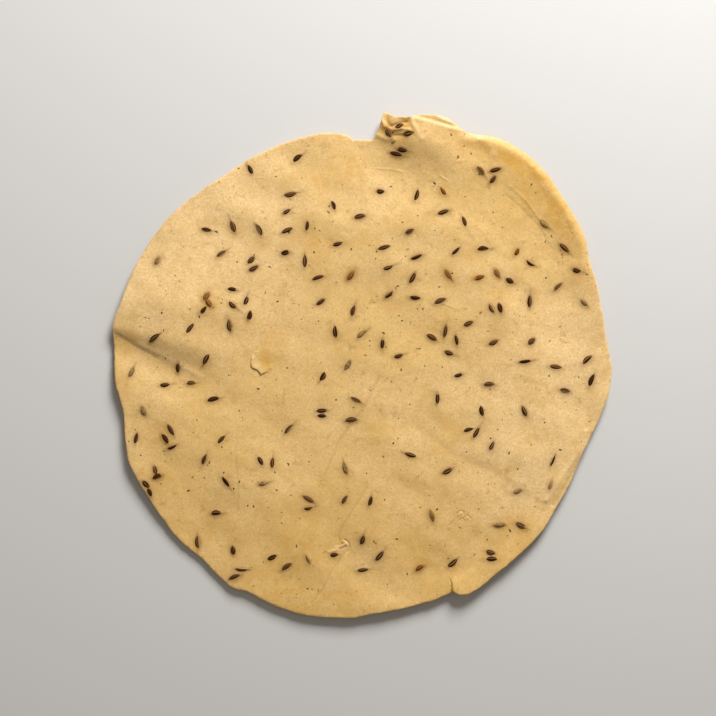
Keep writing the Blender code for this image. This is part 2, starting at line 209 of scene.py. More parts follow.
# Fine ridges, and grooves with a height below 0, as (height, width, (x, y) of its points)
FINE_LINES = (
    (0.16, 1.3, ((-78, 7.2), (-70.4, 3.9), (-65, 0.6), (-60.9, -1.4), (-56.9, -3.4))),
    (-0.14, 0.8, ((-86, 11), (-83, 9.4), (-79.8, 7.2), (-75.6, 5), (-71.9, 3))),
    (0.07, 0.35, ((5.2, 68.8), (9.5, 68.6), (14, 67.7))),
    (0.1, 0.3, ((27.3, 66.3), (28.4, 65.1), (29.7, 64.6))),
    (0.08, 0.3, ((28.3, 21.5), (30.1, 21), (32.2, 20.1))),
    (0.05, 0.4, ((32.9, 70.9), (35.2, 71.4), (37.4, 71.2))),
    (-0.1, 0.45, ((1.7, -42.9), (-2, -48.5), (-5.1, -53.4), (-7.3, -56.9), (-8.3, -59.7), (-7.9, -61))),
    (-0.1, 0.45, ((-6.2, -65.6), (-8, -68.2), (-11, -72.1), (-13.7, -77.9), (-17.5, -82.8))),
    (0.08, 1.4, ((-9.6, -71.2), (-12.2, -77.4), (-15.9, -82.8))),
    (-0.04, 0.5, ((-44, -32.4), (-43.2, -41), (-43.4, -50.6))),
    (-0.04, 0.6, ((6, -4), (1, -14), (-8, -26), (-13, -38))),
    (0.2, 0.45, ((-11.6, -65.1), (-10.1, -64.6), (-8.3, -64.3))),
    (0.16, 0.5, ((-9.2, -63.6), (-7.6, -63.2), (-6.1, -62.6), (-5.5, -62.3))),
    (-0.14, 0.3, ((-8, -64.2), (-6.8, -63.9), (-5.8, -63.3))),
    (0.12, 0.5, ((-6.6, -61.4), (-5.8, -61.9), (-5.2, -62.7))),
    (-0.22, 0.3, ((-6, -60.9), (-5.2, -61.4), (-4.6, -62.2), (-4.4, -63.3), (-4.6, -64.3), (-5.2, -65))),
    (-0.15, 0.25, ((30.3, -56), (31.7, -54.7), (32.7, -53.7), (33.1, -52.6), (33.2, -51.6))),
    (-0.15, 0.25, ((33.2, -51.6), (33.8, -50.9), (34.6, -50.7), (35.5, -51.1), (35.4, -51.8))),
    (-0.15, 0.25, ((33.9, -54.2), (34.4, -53.6), (35.2, -53.5), (35.6, -54), (34.9, -54.6))),
    (-0.15, 0.25, ((35.6, -53.2), (36.2, -52.7), (36.7, -52.1), (37.3, -52.7), (37.9, -53.4))),
    (0.12, 0.5, ((33.9, -52.2), (34.7, -51.6))),
    (0.12, 0.4, ((36.2, -53.6), (36.9, -53.1))),
    (0.5, 0.8, ((6.5, 88.5), (6.8, 85.5), (7.8, 83.2))),
    (-0.35, 0.7, ((8.9, 87.5), (8.6, 85.2), (9.6, 83.4))),
    (-0.35, 0.5, ((10.4, 83.2), (12.8, 84.1), (15.7, 84.6))),
    (0.35, 0.7, ((12.4, 87.3), (14.6, 86.2), (16.4, 86.4))),
    (0.45, 0.7, ((17, 87.6), (17.5, 84.1), (19.6, 81), (20.8, 79))),
    (0.3, 0.5, ((10.7, 82), (13.4, 82.3), (16.4, 81.9))),
    (-0.25, 0.6, ((10.9, 80.2), (14, 80), (17.3, 80.3))),
    (0.25, 0.9, ((5.3, 80.3), (8, 79), (11, 78.3))),
    (0.28, 0.8, ((18.6, 85.7), (21, 84.9), (26.3, 83.5), (30.9, 82.3), (35.8, 81.6))),
    (-0.22, 0.7, ((19.5, 86.9), (23.5, 85.7), (27.5, 84.4), (31.5, 83.4))),
    (0.3, 0.8, ((24.8, 87.6), (27.7, 85.7), (30.9, 84.4))),
    (0.18, 1.6, ((34, 85), (40, 80), (46, 74))),
    (-0.35, 0.9, ((79.8, -24), (78.2, -29), (74.8, -35.5), (70.8, -42), (66.6, -48.5))),
    (0.45, 1.0, ((77.7, -23), (76.1, -28.5), (72.6, -34.5), (68.6, -40.5), (64.2, -47))),
    (0.08, 0.5, ((61.5, 51.5), (57, 57.5), (51.5, 62.5))),
    (-0.05, 0.5, ((66, 41), (61.5, 48.5), (56, 54.5), (50, 59.5))),
    (-0.07, 1.6, ((20, -22), (33, -31), (46, -37), (58, -45))),
    (0.08, 2.0, ((-20, -56), (-8, -66), (2, -74), (9, -84))),
    (0.07, 1.8, ((38, 50), (50, 40), (60, 26), (66, 14))),
)

# A torn flake of skin: its ragged edge, how high that stands, and how far in it lies down again
FLAKE_EDGE = (
    (-38.2, 4.3), (-38.7, 2.8), (-38.9, 1.2), (-38.8, -0.2), (-38.4, -0.8), (-37.6, -1.2),
    (-36.6, -1.6), (-35.9, -2.4), (-35.4, -3.3), (-34.6, -2.9), (-33.5, -2.4), (-32.2, -2.2),
)
FLAKE_BACK = ((-29, 3), (-33, 7))  # behind it, where the flake already lies down
FLAKE_MIDDLE = (-34, 1)
FLAKE_RISE = 0.42
FLAKE_REACH = 3.6
FLAKE_ENDS = 2
FLAKE_POINT_STEP = 0.3
FLAKE_OUTSIDE = 0.02
FLAKE_STEP = 0.14

# The tear: its inner end, and how far its right side is lifted and laid over its left side
TEAR_TIP = (292.25, 80.3)
TEAR_SIDES = ((293.1, 84.6), (293.35, 84.8))
TEAR_LIFT = 0.9
TEAR_DROP = 0.15
TEAR_OVERLAP = 1.9
TEAR_REACH = 11
TEAR_OPENS = (0, 0.7)  # as shares of its length, from its inner end
TEAR_SHIFTS = (0.2, 1)

# The dough round each seed: a low collar, which starts inside it, and a darker halo, partly the seed's
# tint in the dough and partly painted contact shadow
COLLAR_RISE = 0.13
COLLAR_REACH = 0.6
COLLAR_STARTS = (0.3, 0.95)  # as shares of the way out to the seed's outline
HALO_AND_SHADE_REACH = 0.85
RUST_STAIN = 0.7
RUST_REACH = 1.3

# A seed as it shows through to the underside, as shares of the way out to its outline
THROUGH_FADE = (0.5, 1.3)
THROUGH_REACH = 1

# The dark smear behind a seed that has a tail
SMEAR_LENGTH = (1.6, 4.2)
SMEAR_WIDTH = 0.5
SMEAR_START = 0.3

# The rim's raggedness in rows of waves: (how many, (fewest, most) round the rim, height)
RAGGED_DRAW = 3
RAGGED_ROWS = ((3, (9, 20), 0.07), (7, (25, 60), 0.06), (12, (80, 190), 0.035))
RIM_INSET = 0.22  # so that the ragged rim stays inside the solid's

# The upper right rim: it rises to a lip that rolls over, with a band of painted warm shade inside it
LIP_ANGLES = (18, 34, 62, 74)  # where it starts, is whole, starts to end and is gone
LIP_SHADE_BAND = (4.8, 2.9)  # how far in its middle is, and how wide it is
LIP_ROLL = (0.55, 2.2)  # how far the edge drops, and how wide the roll is
LIP_RISE = 0.4

# The rounded edge as (inset, share of the thickness)
RIM_STEP = 0.5
RIM_PROFILE = ((0.17, 0), (0.05, 0.13), (0, 0.38), (0, 0.64), (0.06, 0.87), (0.19, 1))

# How finely the top and the underside are split, and how near the rim their points may come
TOP_STEP = 0.9
UNDER_STEP = 1.3
NEAR_SEED = 1.0
NEAR_LINE = 0.9
LEAST_GAP = 0.5  # as a share of the step
ONLY_INSIDE = 1
MERGE_WITHIN = 1e-7

# Warmer and darker places, as (x, y, strength, reach): stains, and painted shade where marked below
STAINS_AND_PAINTED_SHADE = (
    (-33.6, 0.6, 0.9, 1.6), (-34.2, 3.4, 0.6, 1.8),
    (-13.6, 57.3, 1.0, 1.6), (-7, 68, 0.35, 8), (-4, 72.5, 0.3, 6), (11, 84.5, 0.9, 4),
    (9, 81.5, 0.7, 3), (15.5, 84, 0.7, 3), (13, 80, 0.4, 4),
    # painted shade: (-81, 8) and (-84.5, 8.5) in the crease, (60, 63) and (69, 53) in the valley inside
    # the upper right lip
    (-31, 4, 0.5, 4.5), (-30, 9, 0.35, 4), (-81, 8, 0.4, 4.5),
    (-84.5, 8.5, 0.5, 2.5), (60, 63, 0.95, 9), (69, 53, 0.5, 6), (47.5, 24, 0.4, 5),
    (28, 14, 0.35, 5), (-52, 21.5, 0.35, 4), (-69, -46, 0.35, 7), (-14, 33, 0.4, 5),
    (27, -29, 0.35, 3.5), (50, -63, 0.35, 8), (20, -62, 0.3, 6), (-24, -62, 0.3, 8),
    (60, 2, 0.3, 6), (-58, -60, 0.3, 9), (5, -25, 0.25, 8), (-38, 13, 0.25, 6),
    (-15, 42, 0.6, 4), (-15, 65, 0.5, 4), (59, -26, 0.4, 4), (31.5, -23, 0.4, 5),
    (56, -57, 0.6, 6), (-43.5, -33.5, 0.4, 4), (-71, -24.5, 0.7, 5), (-73, -37.5, 0.6, 4),
    (9, 22, 0.35, 4), (2, 44, 0.3, 5), (24, -52, 0.4, 3), (-56, -5, 0.3, 5),
    # painted shade: these two darken the sheet towards its bottom edge
    (-40, -95, 0.5, 45), (30, -100, 0.45, 42),
)

# Places painted paler where light falls on them, with painted highlights on the flake and the mound's
# top, in the same form
PAINTED_LIGHT_PATCHES = (
    (-50, 55, 0.9, 34), (-5, 62, 0.1, 25), (-78, 25, 0.8, 16), (66, -8, 0.9, 30), (28, 86, 0.7, 10),
    (56, -40, 0.7, 16), (-72, -12, 0.35, 12), (-37, 0.6, 1.0, 1.6), (13, 85, 0.5, 3.5),
    (78, 12, 0.5, 14), (2, -66, 0.35, 7), (38, -60, 0.3, 8), (-44, -48, 0.3, 8),
)

# The crests of ridges higher than this get a painted highlight too, this strongly
RIDGE_SHOWN_FROM = 0.15
RIDGE_PAINTED_HIGHLIGHT = 0.8

# A groove's line of painted shade, as a share of the groove's width
GROOVE_SHADE_NARROW = 0.8

# Specks of ground spice
SPECK_DRAW = 17
SPECK_COUNT = 420
UNDER_SPECK_COUNT = 150
SPECK_SIZE = (0.16, 0.46)
SPECK_RISE = 0.05
SPECK_SIDES = 7
SPECK_MOSTLY_SMALL = 2.2
SPECK_STRETCH = (1, 2.4)
SPECK_RINGS = ((0.6, 0.75 * SPECK_RISE), (1, -SPECK_RISE))  # as (share of its size, height)
SPECK_UNEVEN = (0.75, 1.15)
SPECK_FROM_RIM = 1

FLOOR_COLOUR = (0.64, 0.63, 0.61, 1)
FLOOR_SIZE = 3.0
FLOOR_DROP = 0.05

# The light: the world's, and one square area light with its azimuth clockwise from +Y, in metres
WORLD_COLOUR = (1.0, 0.93, 0.82, 1)
WORLD_STRENGTH = 0.24
KEY_AZIMUTH = 20
KEY_ELEVATION = 32
KEY_DISTANCE = 0.75
KEY_SIZE = 0.3
KEY_POWER = 8.5

CAMERA_LENS = 85
CAMERA_SENSOR = 36
VIEW_WIDTH = 250.6
VIEW_CENTRE = (-1.4, 2.6)


# The main form, the same functions as the solid's but for many points at once

def smooth_step(low, high, value):
    share = np.clip((value - low) / (high - low), 0, 1)
    return share * share * (3 - 2 * share)


def fade(away, reach):
    """1 at no distance, falling off over this reach."""
    return np.exp(-((away / reach) ** 2))


def closed_curve(table, angles):
    """The values at these angles of a smooth closed curve through the table's (angle, value) pairs.

    Its slope at each pair is the harmonic mean of the slopes on both sides, or 0 at a peak or a dip.
    """
    count = len(table)
    order = range(-2, count + 2)
    starts = [table[index % count][0] + FULL_TURN * (index // count) for index in order]
    starts = np.array(starts, float)
    values = np.array([table[index % count][1] for index in order], float)
    chords = np.diff(values) / np.diff(starts)
    before, after = chords[:-1], chords[1:]
    same_way = before * after > 0
    slopes = np.zeros(len(starts))
    slopes[1:-1][same_way] = (2 * before * after)[same_way] / (before + after)[same_way]
    angles = np.asarray(angles, float) % FULL_TURN
    index = np.searchsorted(starts, angles, side="right") - 1
    width = starts[index + 1] - starts[index]
    share = (angles - starts[index]) / width
    back = 1 - share
    return (
        values[index] * back * back * (1 + 2 * share)
        + values[index + 1] * share * share * (1 + 2 * back)
        + width * share * back * (back * slopes[index] - share * slopes[index + 1])
    )


def seen_from(x, y, centre_x, centre_y, turn):
    """How far places lie from a centre, along a direction and to the left of it."""
    cosine, sine = math.cos(math.radians(turn)), math.sin(math.radians(turn))
    away_x, away_y = x - centre_x, y - centre_y
    return away_x * cosine + away_y * sine, away_y * cosine - away_x * sine


def hill(x, y, centre_x, centre_y, height, long_spread, wide_spread, turn):
    along, aside = seen_from(x, y, centre_x, centre_y, turn)
    return height * np.exp(-((along / long_spread) ** 2 + (aside / wide_spread) ** 2) / 2)


def soft_hills():
    """Low hills and hollows in the form of HILLS, one at each step of a spiral."""
    draw = random.Random(SOFT_DRAW)
    made = []
    for step in range(SOFT_COUNT):
        reach = SPREAD_RADIUS * math.sqrt((step + 0.5) / SOFT_COUNT)
        angle = math.radians(step * GOLDEN_ANGLE)
        x = reach * math.cos(angle) + draw.uniform(-SOFT_SHIFT, SOFT_SHIFT)
        y = reach * math.sin(angle) + draw.uniform(-SOFT_SHIFT, SOFT_SHIFT)
        height = draw.uniform(*SOFT_HEIGHT) * draw.choice((-1, 1))
        wide = draw.uniform(*SOFT_SPREAD)
        made.append((x, y, height, wide * draw.uniform(*SOFT_STRETCH), wide, draw.uniform(*SOFT_TURN)))
    return made


ALL_HILLS = list(HILLS) + soft_hills() + list(FINE_HILLS)


def crease(x, y):
    """How far the valley lies below the sheet round it, as numbers below 0."""
    run = Vector(CREASE_END) - Vector(CREASE_TIP)
    length, inwards = run.length, run.normalized()
    place_x, place_y = x - CREASE_TIP[0], y - CREASE_TIP[1]
    along = place_x * inwards.x + place_y * inwards.y
    north = inwards.x * place_y - inwards.y * place_x
    fade = 1 - smooth_step(CREASE_FADE_START * length, length + CREASE_FADE_PAST, along)
    steep = CREASE_STEEP_WIDTH + CREASE_STEEP_SPREAD * np.maximum(along, 0)
    width = np.where(north > 0, steep, CREASE_GENTLE_WIDTH)
    return -CREASE_DEPTH * fade * (1 - smooth_step(0, 1, np.abs(north) / width))


def main_form(x, y):
    """How high the solid's underside stands above the table."""
    reach = np.hypot(x, y)
    lift = LIFT * smooth_step(FLAT_RADIUS, LIFTED_RADIUS, reach)
    band = closed_curve(BAND_LIFT, np.degrees(np.arctan2(y, x)))
    band = band * smooth_step(BAND_START, BAND_END, reach)
    uneven = crease(x, y) + sum(hill(x, y, *each) for each in ALL_HILLS)
    away = smooth_step(FLAT_RADIUS, FLAT_RADIUS + HILLS_FADE, reach)
    return np.maximum(lift + band + away * uneven, 0)


# The fine form, which the solid leaves out

def make_waves():
    """Every wave as (height, direction and number of turns per millimetre along x and y, phase)."""
    draw = random.Random(WAVE_DRAW)
    waves = []
    for count, (shortest, longest), height, (direction, spread) in WAVE_ROWS:
        for _ in range(count):
            long = draw.uniform(shortest, longest)
            angle = math.radians(draw.gauss(direction, spread))
            turns = 2 * math.pi / long
            phase = draw.uniform(0, 2 * math.pi)
            each = height * math.sqrt(2 / count)
            waves.append((each, turns * math.cos(angle), turns * math.sin(angle), phase))
    return waves


WAVES = make_waves()


def waves_at(x, y):
    return sum(
        height * np.sin(x * along_x + y * along_y + phase) for height, along_x, along_y, phase in WAVES
    )


def distance_to(points, x, y):
    """How far each place lies from a line through these points."""
    nearest = np.full(np.shape(x), np.inf)
    for (start_x, start_y), (end_x, end_y) in zip(points, points[1:]):
        run_x, run_y = end_x - start_x, end_y - start_y
        share = ((x - start_x) * run_x + (y - start_y) * run_y) / (run_x**2 + run_y**2)
        share = np.clip(share, 0, 1)
        away = np.hypot(x - start_x - share * run_x, y - start_y - share * run_y)
        nearest = np.minimum(nearest, away)
    return nearest


def lines_at(x, y):
    return sum(height * fade(distance_to(points, x, y), width) for height, width, points in FINE_LINES)


def flake_side(x, y):
    """The distance from the flake's ragged edge, above 0 on the flake and below 0 outside it."""
    away = distance_to(FLAKE_EDGE, x, y)
    corners = FLAKE_EDGE + FLAKE_BACK
    inside = np.zeros(np.shape(x), bool)
    for (start_x, start_y), (end_x, end_y) in zip(corners, corners[1:] + corners[:1]):
        level = (start_y > y) != (end_y > y)
        run = (end_x - start_x) / (end_y - start_y) if end_y != start_y else 0
        inside ^= level & (x < start_x + (y - start_y) * run)
    return np.where(inside, away, -away)


def flake_at(x, y):
    """The flake's lift: full at the middle of its edge, none at its ends or further in."""
    side = flake_side(x, y)
    ends = np.minimum(
        np.hypot(x - FLAKE_EDGE[0][0], y - FLAKE_EDGE[0][1]),
        np.hypot(x - FLAKE_EDGE[-1][0], y - FLAKE_EDGE[-1][1]),
    )
    lie_down = 1 - smooth_step(0, FLAKE_REACH, side)
    return np.where(side > 0, FLAKE_RISE * lie_down * smooth_step(0, FLAKE_ENDS, ends), 0)


def seed_measure(seed, x, y):
    """Where places lie from a seed: 1 on its outline, less inside; and how far outside it they are."""
    along, aside = seen_from(x, y, seed["x"], seed["y"], seed["turn"])
    share = np.hypot(along / (seed["length"] / 2), aside / (seed["width"] / 2))
    return share, np.hypot(along, aside) * (1 - 1 / np.maximum(share, TINY))


def smear_line(seed):
    """Both ends of the smear behind a seed: inside its tip, and where it fades out."""
    out = np.array((math.cos(math.radians(seed["turn"])), math.sin(math.radians(seed["turn"]))))
    tip = np.array((seed["x"], seed["y"])) + out * seed["length"] / 2
    shortest, longest = SMEAR_LENGTH
    return tip - out * SMEAR_START, tip + out * (shortest + (longest - shortest) * seed["tone"])


def places_near(seeds, x, y, reach):
    """Each seed, the indexes of the places within reach of it, and how they lie from it."""
    for seed in seeds:
        away = np.hypot(x - seed["x"], y - seed["y"])
        near = np.nonzero(away < seed["length"] / 2 + reach)[0]
        yield seed, near, *seed_measure(seed, x[near], y[near])


def collars_at(x, y, seeds):
    """The dough's rise round the seeds."""
    rise = np.zeros(np.shape(x))
    for _, near, share, outside in places_near(seeds, x, y, 3 * COLLAR_REACH):
        collar = COLLAR_RISE * fade(np.maximum(outside, 0), COLLAR_REACH)
        rise[near] = np.maximum(rise[near], collar * smooth_step(*COLLAR_STARTS, share))
    return rise


def from_rim(x, y):
    """How far inside the smooth rim each place is, and where it is along the lip: 1 on it, 0 off it."""
    angle = np.degrees(np.arctan2(y, x))
    inset = closed_curve(RIM, angle) - np.hypot(x, y)
    first, full, last, none = LIP_ANGLES
    return inset, smooth_step(first, full, angle) * (1 - smooth_step(last, none, angle))


def lip_at(x, y):
    """The lip's rise and its rolled edge."""
    inset, along = from_rim(x, y)
    roll, wide = LIP_ROLL
    rise = LIP_RISE * fade(inset - wide, wide)
    return along * (rise - roll * (1 - smooth_step(0, wide, inset)))


def lip_shade_band_at(x, y):
    """How strongly the painted shade, a warm band inside the lip, shows."""
    inset, along = from_rim(x, y)
    middle, wide = LIP_SHADE_BAND
    return along * fade(inset - middle, wide)


def sheet_heights(x, y):
    """The underside's and the top's height, without the seeds' collars."""
    reach = np.hypot(x, y)
    uneven = waves_at(x, y) + WAVES_LIFT * (1 - smooth_step(FLAT_RADIUS, LIFTED_RADIUS, reach))
    under = main_form(x, y) + uneven + lip_at(x, y)
    return np.maximum(under, 0), under + THICKNESS


def keep_low(z):
    """Presses the highest places together, so that none passes the solid's height."""
    start = HIGHEST - PRESSED_OVER
    return np.where(z > start, start + PRESSED_OVER * np.tanh((z - start) / PRESSED_OVER), z)


def polar(angle, radius):
    return np.array((radius * math.cos(math.radians(angle)), radius * math.sin(math.radians(angle))))


def ragged(angles):
    """How far the rim stands out from its smooth curve, mostly below 0."""
    draw = random.Random(RAGGED_DRAW)
    out = np.full(np.shape(angles), -RIM_INSET)
    for count, (fewest, most), height in RAGGED_ROWS:
        for _ in range(count):
            turns, phase = draw.randint(fewest, most), draw.uniform(0, 2 * math.pi)
            out += height * math.sqrt(2 / count) * np.sin(turns * np.radians(angles) + phase)
    return out


def rim_outline():
    """The rim seen from above, anticlockwise from one side of the tear to the other, then the tear."""
    first = RIM.index(TEAR_SIDES[1])
    pairs = RIM[first:] + tuple((angle + FULL_TURN, radius) for angle, radius in RIM[:first])
    angles = []
    for (start, radius), (end, next_radius) in zip(pairs, pairs[1:]):
        long = math.hypot(math.radians(end - start) * radius, next_radius - radius)
        pieces = max(math.ceil(long / RIM_STEP), 1)
        angles += [start + (end - start) * piece / pieces for piece in range(pieces)]
    angles.append(pairs[-1][0])
    angles = np.array(angles)
    radii = closed_curve(RIM, angles) + ragged(angles)
    points = [polar(angle, radius) for angle, radius in zip(angles, radii)]
    tip = polar(*TEAR_TIP)
    steps = math.ceil(np.linalg.norm(points[-1] - tip) / RIM_STEP)
    inwards = [points[-1] + (tip - points[-1]) * step / steps for step in range(1, steps + 1)]
    outwards = [tip + (points[0] - tip) * step / steps for step in range(1, steps)]
    return np.array(points + inwards + outwards)


def outward_of(outline):
    """The direction straight out of the sheet at each point of its rim."""
    run = np.roll(outline, -1, axis=0) - np.roll(outline, 1, axis=0)
    out = np.column_stack((run[:, 1], -run[:, 0]))
    return out / np.linalg.norm(out, axis=1)[:, None]


def lattice(step, level):
    """A triangular lattice over the round, its spacing halved level times, less the coarser points."""
    fine = step / 2**level
    row_step = fine * math.sqrt(3) / 2
    reach = max(radius for _, radius in RIM) + 1
    rows = math.ceil(reach / row_step)
    row, column = np.meshgrid(
        np.arange(-rows, rows + 1), np.arange(-2 * rows, 2 * rows + 1), indexing="ij"
    )
    new = (row % 2 == 1) | (column % 2 == 1) if level else np.full(row.shape, True)
    x = ((column + row / 2) * fine)[new]
    y = (row * row_step)[new]
    near = np.hypot(x, y) < reach
    return x[near], y[near], fine


def in_the_round(x, y, outline, gap):
    """Which places lie inside the rim and further than this gap from it."""
    tree = KDTree(len(outline))
    for index, (rim_x, rim_y) in enumerate(outline):
        tree.insert((rim_x, rim_y, 0), index)
    tree.balance()
    inside = np.hypot(x, y) < closed_curve(RIM, np.degrees(np.arctan2(y, x)))
    keep = [
        inside[index] and tree.find((x[index], y[index], 0))[2] > gap for index in range(len(x))
    ]
    return np.array(keep)


def near_details(x, y, seeds, reach, with_lines):
    """Which places lie near a seed, a fine line or the flake's edge."""
    near = np.zeros(len(x), bool)
    for seed, found, _, outside in places_near(seeds, x, y, reach):
        near[found[outside < reach]] = True
        if with_lines and seed["tail"]:
            near |= distance_to(smear_line(seed), x, y) < 2 * SMEAR_WIDTH
    if with_lines:
        for _, _, points in FINE_LINES:
            near |= distance_to(points, x, y) < NEAR_LINE
        near |= distance_to(FLAKE_EDGE, x, y) < 2 * NEAR_LINE
    return near


def flake_rows():
    """Two rows of points along the flake's edge, one just outside it and one just on it."""
    points = []
    for start, run in zip(np.array(FLAKE_EDGE), np.diff(FLAKE_EDGE, axis=0)):
        pieces = max(math.ceil(np.linalg.norm(run) / FLAKE_POINT_STEP), 1)
        points += [start + run * piece / pieces for piece in range(pieces)]
    points = np.array(points[1:])
    inwards = np.array(FLAKE_MIDDLE) - points
    inwards /= np.linalg.norm(inwards, axis=1)[:, None]
    return points - FLAKE_OUTSIDE * inwards, points + FLAKE_STEP * inwards


def plan_points(outline, seeds, step, on_top):
    """The points inside the rim: a lattice, finer near the details."""
    rows = np.vstack(flake_rows()) if on_top else np.empty((0, 2))
    parts = [rows]
    for level in range(3 if on_top else 2):
        x, y, fine = lattice(step, level)
        if level == 1:
            near = near_details(x, y, seeds, NEAR_SEED, on_top)
        elif level == 2:
            near = near_details(x, y, (), 0, True)
        else:
            near = np.full(len(x), True)
        x, y = x[near], y[near]
        keep = in_the_round(x, y, outline, LEAST_GAP * fine)
        if on_top:
            keep &= distance_to(FLAKE_EDGE, x, y) > 2 * FLAKE_STEP
        parts.append(np.column_stack((x[keep], y[keep])))
    return np.vstack(parts)


def face_of_sheet(loop, inner):
    """Triangles over the loop and the points inside it."""
    points = [Vector(place) for place in np.vstack((loop, inner)).tolist()]
    edges = [(index, (index + 1) % len(loop)) for index in range(len(loop))]
    plan, _, triangles, *_ = delaunay_2d_cdt(points, edges, [], ONLY_INSIDE, MERGE_WITHIN)
    return np.array([(place.x, place.y) for place in plan]), triangles


def lay_tear(x, y, z):
    """Lifts the tear's right side and lays it over its left side."""
    tip = polar(*TEAR_TIP)
    out = polar(*TEAR_SIDES[0]) - tip
    long = np.linalg.norm(out)
    out /= long
    aside = np.array((-out[1], out[0]))
    along = ((x - tip[0]) * out[0] + (y - tip[1]) * out[1]) / long
    right = (x - tip[0]) * aside[0] + (y - tip[1]) * aside[1]
    open_by = smooth_step(*TEAR_OPENS, along)
    fall = 1 - smooth_step(0, TEAR_REACH, np.abs(right))
    is_right = right > 0
    shift = np.where(is_right, TEAR_OVERLAP * smooth_step(*TEAR_SHIFTS, along) * fall, 0)
    lift = np.where(is_right, TEAR_LIFT, -TEAR_DROP) * open_by * fall
    return x - shift * aside[0], y - shift * aside[1], z + lift


def halo_and_contact_shade_at(x, y, seeds):
    """How strongly the dough is darkened by a seed at it, partly by its tint and partly by painted
    contact shadow: 1 at its outline, fading outwards.
    """
    dark = np.zeros(np.shape(x))
    for seed, near, _, outside in places_near(seeds, x, y, 4 * HALO_AND_SHADE_REACH):
        here = seed["halo_and_contact_shade"] * np.exp(-np.maximum(outside, 0) / HALO_AND_SHADE_REACH)
        dark[near] = np.maximum(dark[near], here)
        if seed["tail"]:
            start, end = smear_line(seed)
            run = end - start
            along = ((x - start[0]) * run[0] + (y - start[1]) * run[1]) / np.sum(run**2)
            smear = fade(distance_to((start, end), x, y), SMEAR_WIDTH) * (1 - smooth_step(0, 1, along))
            dark = np.maximum(dark, smear)
    return dark


def through_at(x, y, seeds):
    """How strongly the seeds show through to the underside."""
    shown = np.zeros(np.shape(x))
    for _, near, share, _ in places_near(seeds, x, y, THROUGH_REACH):
        shown[near] = np.maximum(shown[near], 1 - smooth_step(*THROUGH_FADE, share))
    return shown


def patches_at(patches, x, y):
    shown = sum(
        strength * fade(np.hypot(x - centre_x, y - centre_y), reach)
        for centre_x, centre_y, strength, reach in patches
    )
    return np.clip(shown, 0, 1)


def stains_and_shade_at(x, y, seeds):
    """The stains and the painted shade, the painted shade band inside the lip, and what the rusty seeds
    give off.
    """
    shown = patches_at(STAINS_AND_PAINTED_SHADE, x, y) + lip_shade_band_at(x, y)
    rusty = [seed for seed in seeds if seed["kind"] == "rusty"]
    for _, near, _, outside in places_near(rusty, x, y, 3 * RUST_REACH):
        shown[near] += RUST_STAIN * fade(np.maximum(outside, 0), RUST_REACH)
    return np.clip(shown, 0, 1)


def painted_light_at(x, y):
    """Painted light: the places painted paler where light falls, and painted highlights on the crests of
    the higher fine ridges.
    """
    crests = sum(
        RIDGE_PAINTED_HIGHLIGHT * fade(distance_to(points, x, y), width)
        for height, width, points in FINE_LINES
        if height > RIDGE_SHOWN_FROM
    )
    return np.clip(patches_at(PAINTED_LIGHT_PATCHES, x, y) + crests, 0, 1)


def groove_shade_at(x, y):
    """How strongly the painted shade in the fine grooves darkens the dough."""
    shown = sum(
        fade(distance_to(points, x, y), GROOVE_SHADE_NARROW * width)
        for height, width, points in FINE_LINES
        if height < 0
    )
    return np.clip(shown, 0, 1)


def add_attribute(mesh, name, values):
    made = mesh.attributes.new(name, "FLOAT", "POINT")
    made.data.foreach_set("value", np.asarray(values, np.float32))


def mesh_from(name, points, faces, material):
    """A smooth mesh in metres from points in millimetres."""
    mesh = bpy.data.meshes.new(name)
    mesh.from_pydata((np.asarray(points) * MM).tolist(), [], faces)
    mesh.shade_smooth()
    mesh.materials.append(material)
    made = bpy.data.objects.new(name, mesh)
    bpy.context.scene.collection.objects.link(made)
    return made


def shifted(faces, start, flipped=False):
    """Faces whose corners count on from start, turned over if flipped."""
    return [tuple(start + corner for corner in face[:: -1 if flipped else 1]) for face in faces]


def settled(points, centre):
    """Points as the sheet lies: with the tear laid over, moved to the round's centre and kept low."""
    points = np.column_stack(lay_tear(*points.T))
    points[:, :2] -= centre
    points[:, 2] = keep_low(points[:, 2])
    return points


